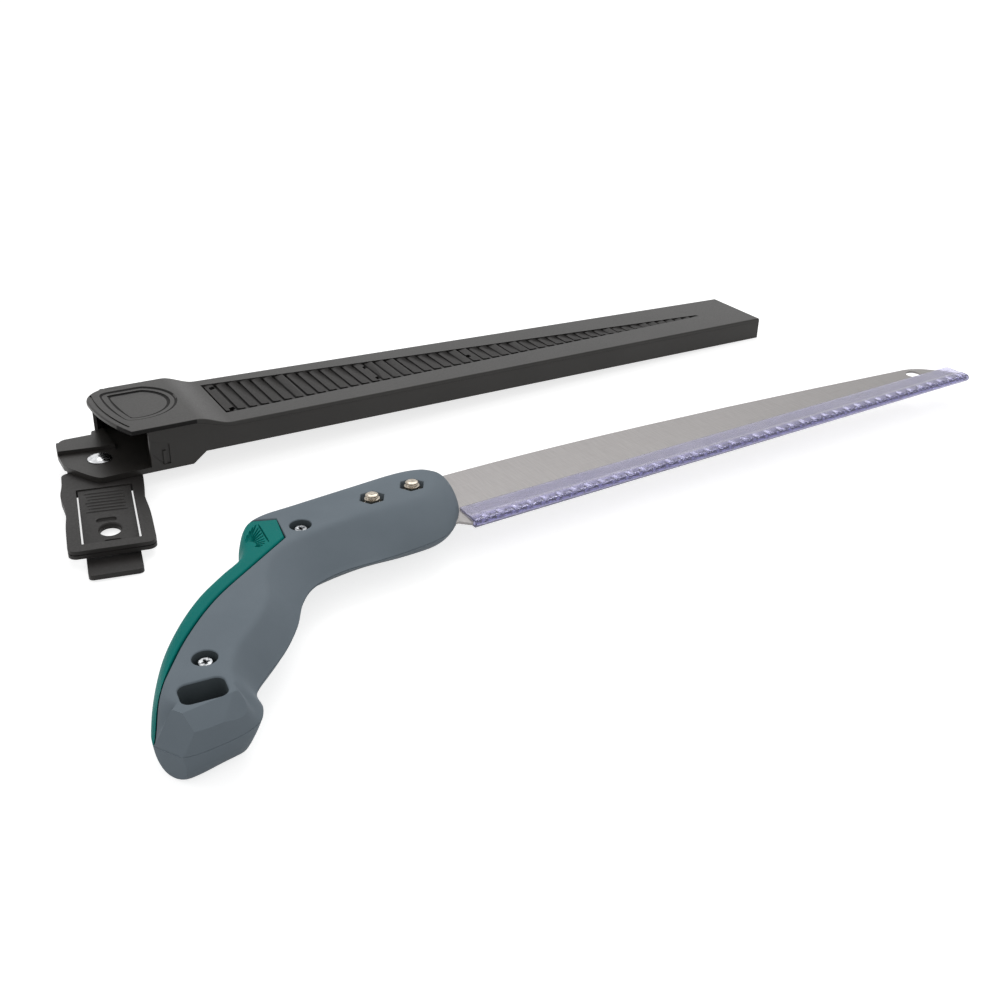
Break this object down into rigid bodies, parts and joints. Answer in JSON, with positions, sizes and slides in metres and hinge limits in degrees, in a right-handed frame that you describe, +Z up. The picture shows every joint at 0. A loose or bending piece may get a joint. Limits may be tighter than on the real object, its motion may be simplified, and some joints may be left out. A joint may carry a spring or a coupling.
{
  "type": "pruning saw with sheath",
  "caption": "Hand pruning saw with a straight toothed blade, angled pistol grip with a coloured spine, slide-off tooth guard and a louvred belt sheath with a swivel clip.",
  "frame": {"origin": "on the table, beneath the midpoint between the two blade bolts, where the grip's flat side rests", "axes": "+X along the tooth edge to the blade's tip, +Y from the teeth to the blade's back and on to the sheath, +Z up from the table"},
  "size_m": [0.4895, 0.2827, 0.0317],
  "materials": {
    "blade_steel": "satin ground steel",
    "grip_plastic": "fine matte texture",
    "spine_plastic": "smooth, softly glossy",
    "nickel_steel": "nickel plated",
    "zinc_steel": "bright zinc plated",
    "guard_plastic": "clear, violet tinted",
    "sheath_plastic": "satin moulded",
    "clip_plastic": "satin moulded"
  },
  "bodies": {
    "saw": {"blade": "blade_steel", "handle_upper_shell": "grip_plastic", "handle_lower_shell": "grip_plastic", "spine_insert": "spine_plastic", "blade_bolt_front": "nickel_steel", "blade_bolt_rear": "nickel_steel", "blade_nut_front": "nickel_steel", "blade_nut_rear": "nickel_steel", "neck_screw": "zinc_steel", "butt_screw": "zinc_steel"},
    "guard": {"blade_guard": "guard_plastic"},
    "sheath": {"sheath_cover": "sheath_plastic", "sheath_tray": "sheath_plastic", "hanger_rivet": "zinc_steel", "hanger_washer": "zinc_steel"},
    "clip": {"belt_clip": "clip_plastic"}
  },
  "joints": [
    {"name": "guard_slide", "type": "slide", "parent": "saw", "child": "guard", "axis": [0, -1, 0], "range_m": [0, 0.03]},
    {"name": "sheath_lift", "type": "slide", "parent": "saw", "child": "sheath", "axis": [0, 0, 1], "range_m": [0, 0.15]},
    {"name": "clip_swivel", "type": "hinge", "parent": "sheath", "child": "clip", "pos_m": [-0.09663, 0.1345, 0.00575], "axis": [0.0327, 0, 0.9995], "range_deg": [-169, 11]}
  ]
}
